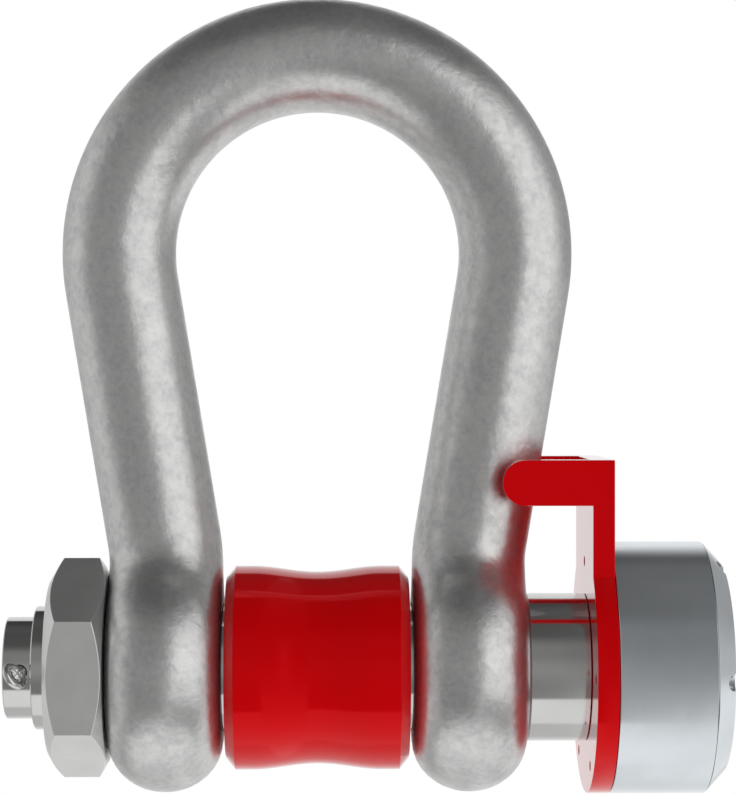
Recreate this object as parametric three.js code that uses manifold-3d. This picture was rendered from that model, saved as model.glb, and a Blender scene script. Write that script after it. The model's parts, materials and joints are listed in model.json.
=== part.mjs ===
// Bow shackle with a load-measuring pin: forged bow, turned pin with a telemetry drum on its head
// end, hexagon nut and split pin on the other end, load-centring bobbin and anti-rotation bracket.
// Millimetres, +Z up. The origin is the inside top of the bow, where a hook or sling bears.
// Each sub-part is drawn in the pin frame, whose origin is on the pin axis midway between the lugs,
// with +X along the pin towards the drum and -Y towards the front.
import * as THREE from 'three';
import { mergeVertices } from 'three/addons/utils/BufferGeometryUtils.js';
import Module from 'manifold-3d';

const wasm = await Module();
wasm.setup();

// ---------------------------------------------------------------- driving dimensions (mm, degrees)
const GAP = 0.3; // clearance kept between pieces that touch

// Bow: one round bar bent over the crown, with a forged eye at the foot of each leg.
const STOCK_RADIUS = 38;
const CROWN_RADIUS = 133.25; // centreline radius of the crown
const CROWN_HEIGHT = 278.3; // centre of the crown arc above the pin axis
const LEG_LEAN = 9.46; // inward lean of each straight leg
const JAW = 127; // clear width between the two lugs
const EYE_RADIUS = 83;
const EYE_RIM_DEPTH = 33.7; // radial depth of the rounded rim
const PIN_CLEARANCE = 1.5; // radial play of the pin in the lugs

// Load pin, from the nut end (-X) to the drum end (+X).
const PIN_RADIUS = 41.25;
const STUB = { end: -208, start: -191, radius: 34 };
const THREAD_CHAMFER = 3;
const HEAD_RADIUS = 49.5;
const HEAD_LENGTH = 40;
const SPIGOT_RADIUS = 24;
const GAUGE_BORE_RADIUS = 15;
const GAUGE_BORE_END = -90;

// Hexagon nut and split pin.
const NUT = { start: -179, end: -139.8, acrossFlats: 128, rim: 58.6, backRim: 62.5, chamfer: 30 };
const COTTER = { x: -196.4, z: 0.6, radius: 4.75, tail: 12 };
const COTTER_EYE = { wire: 2.5, length: 19, width: 15.6, lean: 37, tilt: 36 };

// Load-centring bobbin.
const BOBBIN = { half: 61, rim: 68.2, waist: 64.2, flat: 11, chamfer: 6.3, chamferDrop: 7.6, bore: 42 };

// Anti-rotation bracket: plate against the pin head, tab, and two arms that straddle the leg.
const PLATE_THICKNESS = 14.3;
const DRUM_RADIUS = 84.3;
const TAB_HALF_WIDTH = 55;
const TAB_TOP = 141;
const ARM = { thickness: 13.5, height: 30, tip: 121 };

// Telemetry drum.
const FLOOR_THICKNESS = 8;
const BODY_END = 258.1;
const COVER_END = 271.1;
const BEVEL = 13.5; // radial drop of the bevel around the end cover
const CAVITY_RADIUS = 61;
const WEB_START = 262; // inner face of the end cover
const REGISTER_DEPTH = 5;
const BOLT = { circle: 71.2, first: -2, count: 5, hole: 3.3, shank: 3, tip: 238, head: 5, headLength: 4 };
const COUNTERBORE = { radius: 5.65, floor: 260.9 };
const SET_SCREW = { angles: [0, 90, 180, 240, 300], start: 183, end: 205 };
const DOWEL = { circle: 37, radius: 4, length: 15.6 };
const RING_NUT = { radius: 36, thickness: 9.4, slot: 6 };

const SPIGOT_GROOVE = { inner: 28, outer: 32, depth: 3.2 };
const RIM_GROOVE = { inner: 62.6, outer: 66.4, depth: 3 };

// Electronics inside the pin and the drum.
const SLEEVE = { half: 13, wall: 2.2 };
const PLUG = { start: 190, end: 200, wireHole: 4 };
const BOARD = { start: 217.3, thickness: 1.6, radius: 54 };
const BOARD_SCREW = { circle: 47, angles: [30, 150, 270], radius: 1.5, head: 2.75, length: 2.4, depth: 7 };
const STANDOFF_RADIUS = 3.5;
const CELL = { radius: 7.25, length: 50.5, pitch: 16, count: 4, nub: 1, nubRadius: 2.7 };
const HOLDER = { lift: 3.1, depth: 12, wall: 2, divider: 0.8 };
const RADIO = { width: 26, low: 36, high: 51, thickness: 3.2 };
const ANTENNA = { low: 43, thickness: 1.6, length: 26 };
const TERMINAL = { width: 20, low: -44, high: -36, height: 8, wirePitch: 6 };
const WINDOW = { radius: 24, thickness: 5, ledge: 20 };
const BUTTON = { z: -42, cap: 7.6, stem: 3, capStart: 268, stemEnd: 259.5, well: 2, groove: 5.6 };
const SWITCH = { width: 20, height: 16, depth: 7.7 };
const LENS = { y: -20, z: -38, radius: 2.5 };

// ---------------------------------------------------------------- derived dimensions
const radians = THREE.MathUtils.degToRad;
const LUG_CENTRE = JAW / 2 + STOCK_RADIUS;
const CROWN_SEAT = CROWN_HEIGHT + CROWN_RADIUS - STOCK_RADIUS; // crown seat above the pin axis
const HEAD_START = JAW / 2 + 2 * STOCK_RADIUS + GAP;
const HEAD_END = HEAD_START + HEAD_LENGTH;
const PLATE_START = HEAD_END + GAP;
const PLATE_END = PLATE_START + PLATE_THICKNESS;
const FLOOR_START = PLATE_END + GAP;
const FLOOR_END = FLOOR_START + FLOOR_THICKNESS;
const COVER_START = BODY_END + GAP;
const COVER_FLUSH = COVER_END - GAP; // outer face of what sits in the cover
const BUTTON_FLOOR = BUTTON.capStart - BUTTON.well;
const BUTTON_GROOVE_START = BUTTON_FLOOR - 2.1;
const RING_NUT_START = FLOOR_END + GAP;
const SPIGOT_END = RING_NUT_START + RING_NUT.thickness + 2;
const BOARD_END = BOARD.start + BOARD.thickness;
const PARTS_START = BOARD_END + GAP; // face of the board that carries its components
const HOLDER_START = BOARD_END + HOLDER.lift;
const CELL_CENTRE = HOLDER_START + HOLDER.wall + GAP + CELL.radius;

// ---------------------------------------------------------------- materials
const paint = (color, roughness, metalness) =>
  new THREE.MeshStandardMaterial({ color, roughness, metalness });
const MATERIALS = {
  galvanised: paint('#b4b4b0', 0.45, 1),
  satinSteel: paint('#a6a6a3', 0.3, 1),
  brightSteel: paint('#c4c4c2', 0.2, 1),
  redPaint: paint('#c00510', 0.35, 0),
  aluminium: paint('#c3cad0', 0.32, 1),
  blackOxide: paint('#26282a', 0.45, 1),
  rubber: paint('#161616', 0.8, 0),
  circuit: paint('#0e5a34', 0.5, 0),
  plastic: paint('#202326', 0.55, 0),
  cellJacket: paint('#3a6f4a', 0.4, 0),
  brass: paint('#b79a52', 0.35, 1),
  lens: paint('#2fbf4a', 0.15, 0),
};

// ---------------------------------------------------------------- solids and booleans
function toSolid(geometry) {
  const bare = geometry.clone();
  bare.deleteAttribute('normal');
  bare.deleteAttribute('uv');
  const merged = mergeVertices(bare, 1e-4);
  const corners = merged.index.array;
  const kept = [];
  for (let i = 0; i < corners.length; i += 3) {
    const [a, b, c] = corners.slice(i, i + 3);
    if (a !== b && b !== c && c !== a) kept.push(a, b, c);
  }
  const vertProperties = merged.attributes.position.array;
  const triVerts = new Uint32Array(kept);
  return new wasm.Manifold(new wasm.Mesh({ numProp: 3, vertProperties, triVerts }));
}

function toGeometry(solid) {
  const { vertProperties, triVerts } = solid.getMesh();
  const geometry = new THREE.BufferGeometry();
  geometry.setAttribute('position', new THREE.BufferAttribute(vertProperties, 3));
  geometry.setIndex(new THREE.BufferAttribute(triVerts, 1));
  geometry.computeVertexNormals();
  return geometry;
}

const join = (first, ...others) => others.reduce((whole, other) => whole.add(other), first);
const cut = (first, ...tools) => tools.reduce((whole, tool) => whole.subtract(tool), first);

// Solid of revolution about X. The profile lists [x, radius] from -X to +X.
function turned(profile, sides = 40) {
  const points = profile.map(([x, radius]) => new THREE.Vector2(radius, x));
  return toSolid(new THREE.LatheGeometry(points, sides).rotateZ(-Math.PI / 2));
}

// Ring of rectangular section about X.
function ring(start, end, inner, outer, sides = 40) {
  return turned([[start, inner], [start, outer], [end, outer], [end, inner], [start, inner]], sides);
}

function rod(start, end, radius, y = 0, z = 0, sides = 16) {
  const shape = new THREE.CylinderGeometry(radius, radius, end - start, sides).rotateZ(-Math.PI / 2);
  return toSolid(shape.translate((start + end) / 2, y, z));
}

function rodAlongY(start, end, radius, x, z, sides = 16) {
  const shape = new THREE.CylinderGeometry(radius, radius, end - start, sides);
  return toSolid(shape.translate(x, (start + end) / 2, z));
}

function block([x0, x1], [y0, y1], [z0, z1]) {
  const shape = new THREE.BoxGeometry(x1 - x0, y1 - y0, z1 - z0);
  return toSolid(shape.translate((x0 + x1) / 2, (y0 + y1) / 2, (z0 + z1) / 2));
}

function oRing(x, radius, section) {
  return toSolid(new THREE.TorusGeometry(radius, section, 6, 28).rotateY(Math.PI / 2).translate(x, 0, 0));
}

// Points on the bolt circle and the like: angle 0 is the front (-Y), 90 the top.
const onCircle = (radius, angle) => [-radius * Math.cos(radians(angle)), radius * Math.sin(radians(angle))];

// ---------------------------------------------------------------- assembly
const shackle = new THREE.Group();
const pinFrame = new THREE.Group();
pinFrame.position.z = -CROWN_SEAT;
shackle.add(pinFrame);

function place(name, solid, material) {
  const mesh = new THREE.Mesh(toGeometry(solid), material);
  mesh.name = name;
  pinFrame.add(mesh);
}

// ---------------------------------------------------------------- bow
// Centreline of the bar: up one lug, along the leaning leg, over the crown and down the other side.
class BowLine extends THREE.Curve {
  constructor() {
    super();
    const lean = radians(LEG_LEAN);
    const tangentX = CROWN_RADIUS * Math.cos(lean);
    const tangentZ = CROWN_HEIGHT - CROWN_RADIUS * Math.sin(lean);
    const kneeZ = tangentZ - (tangentX - LUG_CENTRE) / Math.tan(lean);
    this.outline = new THREE.Path();
    this.outline.moveTo(-LUG_CENTRE, EYE_RADIUS / 4);
    this.outline.lineTo(-LUG_CENTRE, kneeZ);
    this.outline.lineTo(-tangentX, tangentZ);
    this.outline.absarc(0, CROWN_HEIGHT, CROWN_RADIUS, Math.PI + lean, -lean, true);
    this.outline.lineTo(LUG_CENTRE, kneeZ);
    this.outline.lineTo(LUG_CENTRE, EYE_RADIUS / 4);
  }

  getPoint(t) {
    const { x, y } = this.outline.getPoint(t);
    return new THREE.Vector3(x, 0, y);
  }
}

function bowBar() {
  const section = new THREE.Shape().absarc(0, 0, STOCK_RADIUS, 0, 2 * Math.PI);
  const sweep = { extrudePath: new BowLine(), steps: 44, curveSegments: 10, bevelEnabled: false };
  return toSolid(new THREE.ExtrudeGeometry(section, sweep));
}

// Eye of one lug: a thick disc whose rim is rounded as half an ellipse.
function eye(centre) {
  const rimSteps = 8;
  const profile = [[centre - STOCK_RADIUS, 0]];
  for (let i = 0; i <= rimSteps; i++) {
    const turn = Math.PI * (i / rimSteps);
    const radius = EYE_RADIUS - EYE_RIM_DEPTH + EYE_RIM_DEPTH * Math.sin(turn);
    profile.push([centre - STOCK_RADIUS * Math.cos(turn), radius]);
  }
  profile.push([centre + STOCK_RADIUS, 0]);
  return turned(profile);
}

function bow() {
  const forging = join(bowBar(), eye(-LUG_CENTRE), eye(LUG_CENTRE));
  const reach = HEAD_START + STOCK_RADIUS;
  return cut(forging, rod(-reach, reach, PIN_RADIUS + PIN_CLEARANCE, 0, 0, 40));
}

// ---------------------------------------------------------------- load pin, nut, split pin
const dowelPlaces = [onCircle(DOWEL.circle, 0), onCircle(DOWEL.circle, 180)];
const dowelSpan = [HEAD_END + GAP / 2 - DOWEL.length / 2, HEAD_END + GAP / 2 + DOWEL.length / 2];
const dowelHole = ([y, z]) => rod(dowelSpan[0] - GAP, dowelSpan[1] + GAP, DOWEL.radius + GAP, y, z);

function loadPin() {
  const stubChamfer = 1.5;
  const headChamfer = 1;
  const turnedPin = turned([
    [STUB.end, 0],
    [STUB.end, STUB.radius - stubChamfer],
    [STUB.end + stubChamfer, STUB.radius],
    [STUB.start, STUB.radius],
    [STUB.start + THREAD_CHAMFER, PIN_RADIUS],
    [HEAD_START, PIN_RADIUS],
    [HEAD_START, HEAD_RADIUS - headChamfer],
    [HEAD_START + headChamfer, HEAD_RADIUS],
    [HEAD_END, HEAD_RADIUS],
    [HEAD_END, SPIGOT_RADIUS],
    [SPIGOT_END, SPIGOT_RADIUS],
    [SPIGOT_END, 0],
  ]);
  const gaugeBore = rod(GAUGE_BORE_END, SPIGOT_END + 1, GAUGE_BORE_RADIUS, 0, 0, 24);
  const reach = STUB.radius + 1;
  const cotterHole = rodAlongY(-reach, reach, COTTER.radius + 0.5, COTTER.x, COTTER.z);
  return cut(turnedPin, gaugeBore, cotterHole, ...dowelPlaces.map(dowelHole));
}

// Hexagon with a corner at the top and a flat to the front, chamfered less on the face at the lug.
function hexNut() {
  const corner = NUT.acrossFlats / Math.sqrt(3);
  const chamferLength = (rim) => (corner - rim) * Math.tan(radians(NUT.chamfer));
  const length = NUT.end - NUT.start;
  const hexagon = new THREE.CylinderGeometry(corner, corner, length, 6).rotateZ(-Math.PI / 2);
  hexagon.translate((NUT.start + NUT.end) / 2, 0, 0);
  const chamfers = turned([
    [NUT.start, 0],
    [NUT.start, NUT.rim],
    [NUT.start + chamferLength(NUT.rim), corner],
    [NUT.end - chamferLength(NUT.backRim), corner],
    [NUT.end, NUT.backRim],
    [NUT.end, 0],
  ]);
  const bore = rod(NUT.start - 1, NUT.end + 1, PIN_RADIUS + GAP, 0, 0, 40);
  return cut(toSolid(hexagon).intersect(chamfers), bore);
}

// Split pin: two straight legs with a slit between them, and an oval eye laid over against the stub.
function splitPin() {
  const { x, z, radius, tail } = COTTER;
  const { wire, length, width, lean, tilt } = COTTER_EYE;
  const neck = -STUB.radius - 1.5;
  const legEnd = STUB.radius + tail;
  const oval = new THREE.TorusGeometry(width / 2 - wire, wire, 8, 20).rotateY(Math.PI / 2);
  oval.scale(1, 1, (length - 2 * wire) / (width - 2 * wire)).translate(0, wire - width / 2, 0);
  const eye = toSolid(oval).rotate([0, 0, -tilt]).translate([0, neck, 0]);
  const legs = rodAlongY(neck - wire, legEnd, radius, 0, 0);
  const slit = block([-radius - 1, radius + 1], [-STUB.radius + 4, legEnd + 1], [-0.2, 0.2]);
  return join(eye, legs).subtract(slit).rotate([0, -lean, 0]).translate([x, 0, z]);
}

// ---------------------------------------------------------------- bobbin
// The waist is half a cosine wave lower than the rims, so a sling settles at mid-span.
function bobbin() {
  const { half, rim, waist, flat, chamfer, chamferDrop, bore } = BOBBIN;
  const waistSteps = 10;
  const waistHalf = half - chamfer - flat;
  const profile = [[-half, bore], [-half, rim - chamferDrop], [-half + chamfer, rim]];
  for (let i = 0; i <= waistSteps; i++) {
    const along = 2 * (i / waistSteps) - 1;
    const drop = (rim - waist) * (1 + Math.cos(Math.PI * along)) / 2;
    profile.push([waistHalf * along, rim - drop]);
  }
  profile.push([half - chamfer, rim], [half, rim - chamferDrop], [half, bore], [-half, bore]);
  return turned(profile);
}

// ---------------------------------------------------------------- anti-rotation bracket
const setScrewPlaces = SET_SCREW.angles.map((angle) => onCircle(BOLT.circle, angle));

function bracketArm(side) {
  const outline = new THREE.Shape();
  const endRadius = ARM.height / 2;
  outline.moveTo(PLATE_START + 1, TAB_TOP);
  outline.lineTo(ARM.tip + endRadius, TAB_TOP);
  outline.absarc(ARM.tip + endRadius, TAB_TOP - endRadius, endRadius, Math.PI / 2, 1.5 * Math.PI, false);
  outline.lineTo(PLATE_START + 1, TAB_TOP - ARM.height);
  const sweep = { depth: ARM.thickness, curveSegments: 12, bevelEnabled: false };
  const arm = new THREE.ExtrudeGeometry(outline, sweep);
  arm.rotateX(Math.PI / 2); // drawn in X and Z, thickness towards -Y
  const outerFace = side < 0 ? -TAB_HALF_WIDTH + ARM.thickness : TAB_HALF_WIDTH;
  return toSolid(arm.translate(0, outerFace, 0));
}

function antiRotationBracket() {
  const disc = rod(PLATE_START, PLATE_END, DRUM_RADIUS, 0, 0, 48);
  const tab = block([PLATE_START, PLATE_END], [-TAB_HALF_WIDTH, TAB_HALF_WIDTH], [0, TAB_TOP]);
  const whole = join(disc, tab, bracketArm(-1), bracketArm(1));
  const spigotHole = rod(PLATE_START - 1, PLATE_END + 1, SPIGOT_RADIUS + GAP, 0, 0, 40);
  const screwHoles = setScrewPlaces.map(([y, z]) => (
    rod(PLATE_START - 1, PLATE_END + 1, BOLT.hole, y, z, 12)
  ));
  return cut(whole, spigotHole, ...screwHoles, ...dowelPlaces.map(dowelHole));
}

// Socket set screw sunk in the plate and screwed on into the drum, which keys the two together.
function setScrew([y, z]) {
  const { start, end } = SET_SCREW;
  const socket = rod(start - 1, start + 3, 1.8, y, z, 6);
  return cut(rod(start, end, BOLT.shank, y, z, 12), socket);
}

// ---------------------------------------------------------------- telemetry drum
const boltPlaces = Array.from({ length: BOLT.count }, (_, i) => (
  onCircle(BOLT.circle, BOLT.first + (360 * i) / BOLT.count)
));

function drumBody() {
  const cup = turned([
    [FLOOR_START, SPIGOT_RADIUS + GAP],
    [FLOOR_START, DRUM_RADIUS],
    [BODY_END, DRUM_RADIUS],
    [BODY_END, CAVITY_RADIUS],
    [FLOOR_END, CAVITY_RADIUS],
    [FLOOR_END, SPIGOT_RADIUS + GAP],
    [FLOOR_START, SPIGOT_RADIUS + GAP],
  ], 48);
  const boltHoles = boltPlaces.map(([y, z]) => rod(BOLT.tip - 3, BODY_END + 1, BOLT.hole, y, z, 12));
  const screwHoles = setScrewPlaces.map(([y, z]) => (
    rod(FLOOR_START - 1, SET_SCREW.end + 2, BOLT.hole, y, z, 12)
  ));
  const { inner, outer, depth } = SPIGOT_GROOVE;
  const spigotGroove = ring(FLOOR_START - 1, FLOOR_START + depth, inner, outer);
  const rimGroove = ring(BODY_END - RIM_GROOVE.depth, BODY_END + 1, RIM_GROOVE.inner, RIM_GROOVE.outer);
  return cut(cup, ...boltHoles, ...screwHoles, spigotGroove, rimGroove);
}

function ringNut() {
  const end = RING_NUT_START + RING_NUT.thickness;
  const slots = [0, 90, 180, 270].map((angle) => {
    const [y, z] = onCircle(RING_NUT.radius, angle);
    const half = RING_NUT.slot / 2;
    return block([RING_NUT_START - 1, end + 1], [y - half, y + half], [z - half, z + half]);
  });
  return cut(ring(RING_NUT_START, end, SPIGOT_RADIUS + GAP, RING_NUT.radius, 40), ...slots);
}

// Bevelled end cover with its register, bolt counterbores, antenna window seat, button and lens seats.
function endCover() {
  const registerStart = COVER_START - REGISTER_DEPTH;
  const registerOuter = CAVITY_RADIUS - 0.4;
  const registerInner = registerOuter - 8;
  const disc = turned([
    [registerStart, registerInner],
    [registerStart, registerOuter],
    [COVER_START, registerOuter],
    [COVER_START, DRUM_RADIUS],
    [COVER_END, DRUM_RADIUS - BEVEL],
    [COVER_END, 0],
    [WEB_START, 0],
    [WEB_START, registerInner],
    [registerStart, registerInner],
  ], 48);
  const through = COVER_END + 1;
  const boltHoles = boltPlaces.map(([y, z]) => rod(COVER_START - 1, through, BOLT.hole, y, z, 12));
  const counterbores = boltPlaces.map(([y, z]) => rod(COUNTERBORE.floor, through, COUNTERBORE.radius, y, z));
  return cut(
    disc, ...boltHoles, ...counterbores,
    rod(WEB_START - 1, through, WINDOW.ledge, 0, 0, 32),
    rod(COVER_FLUSH - WINDOW.thickness - GAP, through, WINDOW.radius + GAP, 0, 0, 32),
    rod(WEB_START - 1, through, BUTTON.stem + GAP, 0, BUTTON.z),
    rod(BUTTON_GROOVE_START, through, BUTTON.groove, 0, BUTTON.z),
    rod(BUTTON_FLOOR, through, BUTTON.cap + GAP, 0, BUTTON.z),
    rod(WEB_START - 1, through, LENS.radius + GAP, LENS.y, LENS.z),
  );
}

// Low-head socket bolt that lies below the bevel and screws into the wall of the drum.
function coverBolt([y, z]) {
  const seat = COUNTERBORE.floor + GAP;
  const top = seat + BOLT.headLength;
  const shank = rod(BOLT.tip, seat + 1, BOLT.shank, y, z, 12);
  return cut(join(rod(seat, top, BOLT.head, y, z), shank), rod(top - 2.2, top + 1, 2.3, y, z, 6));
}

// ---------------------------------------------------------------- electronics
const boardScrewPlaces = BOARD_SCREW.angles.map((angle) => onCircle(BOARD_SCREW.circle, angle));
const boardScrewHole = (start, end, [y, z]) => rod(start, end, BOARD_SCREW.radius + GAP, y, z, 8);

function circuitBoard() {
  const disc = rod(BOARD.start, BOARD_END, BOARD.radius, 0, 0, 36);
  return cut(disc, ...boardScrewPlaces.map((spot) => boardScrewHole(BOARD.start - 1, BOARD_END + 1, spot)));
}

function standoff([y, z]) {
  const end = BOARD.start - GAP;
  const post = rod(FLOOR_END + GAP, end, STANDOFF_RADIUS, y, z, 6);
  return cut(post, boardScrewHole(end - BOARD_SCREW.depth - 1, end + 1, [y, z]));
}

function boardScrew([y, z]) {
  const { radius, head, length, depth } = BOARD_SCREW;
  const shank = rod(BOARD.start - depth, PARTS_START + 1, radius, y, z, 8);
  return join(rod(PARTS_START, PARTS_START + length, head, y, z, 10), shank);
}

const cellPlaces = Array.from({ length: CELL.count }, (_, i) => (i - (CELL.count - 1) / 2) * CELL.pitch);

// Tray with one channel for each cell, open towards the cover.
function batteryHolder() {
  const channelHalf = (CELL.pitch - HOLDER.divider) / 2;
  const channelLength = CELL.length + 2;
  const halfWidth = ((CELL.count - 1) * CELL.pitch) / 2 + channelHalf + HOLDER.wall;
  const halfLength = channelLength / 2 + HOLDER.wall;
  const end = HOLDER_START + HOLDER.depth;
  const tray = block([HOLDER_START, end], [-halfWidth, halfWidth], [-halfLength, halfLength]);
  const channels = cellPlaces.map((y) => block(
    [HOLDER_START + HOLDER.wall, end + 1],
    [y - channelHalf, y + channelHalf],
    [-channelLength / 2, channelLength / 2],
  ));
  return cut(tray, ...channels);
}

// AA cell with its positive nub, axis along Z; neighbours point opposite ways.
function batteryCell(y, direction) {
  const { radius, length, nub, nubRadius } = CELL;
  const can = new THREE.CylinderGeometry(radius, radius, length - nub, 18).translate(0, -nub / 2, 0);
  const tip = new THREE.CylinderGeometry(nubRadius, nubRadius, 2 * nub, 10).translate(0, length / 2 - nub, 0);
  return join(toSolid(can), toSolid(tip)).rotate([direction * 90, 0, 0]).translate([CELL_CENTRE, y, 0]);
}

function radioModule() {
  const { width, low, high, thickness } = RADIO;
  return block([PARTS_START, PARTS_START + thickness], [-width / 2, width / 2], [low, high]);
}

function antenna() {
  const start = PARTS_START + RADIO.thickness + GAP;
  const { low, thickness, length } = ANTENNA;
  return block([start, start + length], [-RADIO.width / 2, RADIO.width / 2], [low, low + thickness]);
}

function terminalBlock() {
  const { width, low, high, height, wirePitch } = TERMINAL;
  const top = PARTS_START + height;
  const middle = (low + high) / 2;
  const body = block([PARTS_START, top], [-width / 2, width / 2], [low, high]);
  const wireHoles = [-wirePitch, 0, wirePitch].map((y) => rod(top - height / 2, top + 1, 1.6, y, middle, 8));
  return cut(body, ...wireHoles);
}

// Switch under the cover's web, with a well for the stem of the button.
function switchBlock() {
  const top = WEB_START - GAP;
  const { width, height, depth } = SWITCH;
  const zSpan = [BUTTON.z - height / 2, BUTTON.z + height / 2];
  const body = block([top - depth, top], [-width / 2, width / 2], zSpan);
  return cut(body, rod(BUTTON.stemEnd - BUTTON.well, top + 1, BUTTON.stem + 1, 0, BUTTON.z));
}

function powerButton() {
  const cap = rod(BUTTON.capStart, COVER_FLUSH, BUTTON.cap, 0, BUTTON.z, 24);
  return join(cap, rod(BUTTON.stemEnd, BUTTON.capStart + 1, BUTTON.stem, 0, BUTTON.z));
}

// Sleeve that carries the strain gauges inside the pin, at one shear plane.
function gaugeSleeve(centre) {
  const outer = GAUGE_BORE_RADIUS - GAP;
  return ring(centre - SLEEVE.half, centre + SLEEVE.half, outer - SLEEVE.wall, outer, 24);
}

const borePlug = () => ring(PLUG.start, PLUG.end, PLUG.wireHole, GAUGE_BORE_RADIUS - GAP, 24);

// ---------------------------------------------------------------- seals
function grooveSeal(grooveStart, groove) {
  const middle = (groove.inner + groove.outer) / 2;
  return oRing(grooveStart + groove.depth / 2, middle, groove.depth / 2 - GAP);
}

function buttonSeal() {
  const section = 0.8;
  const ringRadius = BUTTON.stem + 2 * GAP + section;
  return oRing((BUTTON_GROOVE_START + BUTTON_FLOOR) / 2, ringRadius, section).translate([0, 0, BUTTON.z]);
}

// ---------------------------------------------------------------- the pieces
place('bow', bow(), MATERIALS.galvanised);
place('load_pin', loadPin(), MATERIALS.satinSteel);
place('hex_nut', hexNut(), MATERIALS.satinSteel);
place('cotter_pin', splitPin(), MATERIALS.brightSteel);
place('bobbin', bobbin(), MATERIALS.redPaint);
place('anti_rotation_bracket', antiRotationBracket(), MATERIALS.redPaint);
dowelPlaces.forEach(([y, z], i) => {
  place(`bracket_dowel_${i + 1}`, rod(...dowelSpan, DOWEL.radius, y, z), MATERIALS.brightSteel);
});
setScrewPlaces.forEach((spot, i) => {
  place(`set_screw_${i + 1}`, setScrew(spot), MATERIALS.blackOxide);
});
[-JAW / 2, JAW / 2].forEach((shearPlane, i) => {
  place(`gauge_sleeve_${i + 1}`, gaugeSleeve(shearPlane), MATERIALS.brightSteel);
});
place('bore_plug', borePlug(), MATERIALS.rubber);

place('housing_body', drumBody(), MATERIALS.aluminium);
place('spigot_seal', grooveSeal(FLOOR_START, SPIGOT_GROOVE), MATERIALS.rubber);
place('ring_nut', ringNut(), MATERIALS.satinSteel);
place('circuit_board', circuitBoard(), MATERIALS.circuit);
boardScrewPlaces.forEach((spot, i) => {
  place(`standoff_${i + 1}`, standoff(spot), MATERIALS.brass);
  place(`board_screw_${i + 1}`, boardScrew(spot), MATERIALS.brightSteel);
});
place('radio_module', radioModule(), MATERIALS.brightSteel);
place('antenna', antenna(), MATERIALS.circuit);
place('terminal_block', terminalBlock(), MATERIALS.plastic);
place('battery_holder', batteryHolder(), MATERIALS.plastic);
cellPlaces.forEach((y, i) => {
  place(`battery_cell_${i + 1}`, batteryCell(y, i % 2 ? 1 : -1), MATERIALS.cellJacket);
});

place('end_cover', endCover(), MATERIALS.aluminium);
place('cover_seal', grooveSeal(BODY_END - RIM_GROOVE.depth, RIM_GROOVE), MATERIALS.rubber);
boltPlaces.forEach((spot, i) => {
  place(`cover_bolt_${i + 1}`, coverBolt(spot), MATERIALS.blackOxide);
});
const antennaWindow = rod(COVER_FLUSH - WINDOW.thickness, COVER_FLUSH, WINDOW.radius, 0, 0, 32);
place('antenna_window', antennaWindow, MATERIALS.plastic);
place('status_lens', rod(WEB_START + GAP, COVER_FLUSH, LENS.radius, LENS.y, LENS.z), MATERIALS.lens);
place('switch_block', switchBlock(), MATERIALS.plastic);
place('button_seal', buttonSeal(), MATERIALS.rubber);
place('power_button', powerButton(), MATERIALS.rubber);

export default shackle;
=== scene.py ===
import json
import math
import bmesh
import bpy
from mathutils import Matrix, Vector

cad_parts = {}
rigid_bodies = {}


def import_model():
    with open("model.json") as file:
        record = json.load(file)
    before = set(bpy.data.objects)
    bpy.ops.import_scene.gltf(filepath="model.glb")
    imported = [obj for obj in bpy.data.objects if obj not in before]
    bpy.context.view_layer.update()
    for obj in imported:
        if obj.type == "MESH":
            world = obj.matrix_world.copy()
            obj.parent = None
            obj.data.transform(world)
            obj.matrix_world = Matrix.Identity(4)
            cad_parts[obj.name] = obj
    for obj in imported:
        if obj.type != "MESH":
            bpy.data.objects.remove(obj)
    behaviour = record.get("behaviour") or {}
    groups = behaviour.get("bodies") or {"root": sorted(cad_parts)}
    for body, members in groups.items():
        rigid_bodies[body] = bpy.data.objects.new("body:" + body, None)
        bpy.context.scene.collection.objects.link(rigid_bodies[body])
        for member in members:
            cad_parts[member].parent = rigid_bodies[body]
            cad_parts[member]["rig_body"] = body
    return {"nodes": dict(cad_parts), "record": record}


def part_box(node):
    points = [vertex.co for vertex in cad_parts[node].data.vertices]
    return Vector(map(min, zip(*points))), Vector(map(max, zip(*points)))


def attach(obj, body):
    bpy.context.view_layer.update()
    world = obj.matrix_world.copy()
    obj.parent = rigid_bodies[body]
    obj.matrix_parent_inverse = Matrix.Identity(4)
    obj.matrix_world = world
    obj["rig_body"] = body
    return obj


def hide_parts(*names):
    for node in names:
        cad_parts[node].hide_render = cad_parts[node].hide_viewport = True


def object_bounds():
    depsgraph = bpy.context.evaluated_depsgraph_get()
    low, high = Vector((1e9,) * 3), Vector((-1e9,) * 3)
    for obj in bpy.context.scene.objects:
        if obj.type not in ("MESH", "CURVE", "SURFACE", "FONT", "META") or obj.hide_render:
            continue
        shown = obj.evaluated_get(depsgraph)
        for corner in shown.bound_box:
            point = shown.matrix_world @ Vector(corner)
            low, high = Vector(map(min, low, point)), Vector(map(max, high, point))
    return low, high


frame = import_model()
cad_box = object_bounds()

# Looks of a load-measuring bow shackle. Shapes are drawn in millimetres in the pin frame: origin on
# the pin axis midway between the lugs, +X towards the drum, -Y towards the front, +Z up the bow.
MM = 0.001
SCENE = bpy.context.scene
SLOTS = {row["node"]: row["material_slot"] for row in frame["record"]["subparts"]}


# ---------------------------------------------------------------- places taken from the CAD frame
def middle(node):
    low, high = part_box(node)
    return (low + high) / 2


PIN_CENTRE = Vector((0, 0, middle("bobbin").z))
TO_ROW = Matrix.Translation(PIN_CENTRE) @ Matrix.Scale(MM, 4)


def extent(node):
    """Lowest and highest corner of a CAD node in the pin frame, in millimetres."""
    low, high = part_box(node)
    return (low - PIN_CENTRE) / MM, (high - PIN_CENTRE) / MM


def spot(node):
    """Middle of a CAD node in the pin frame, in millimetres."""
    return (middle(node) - PIN_CENTRE) / MM


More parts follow.
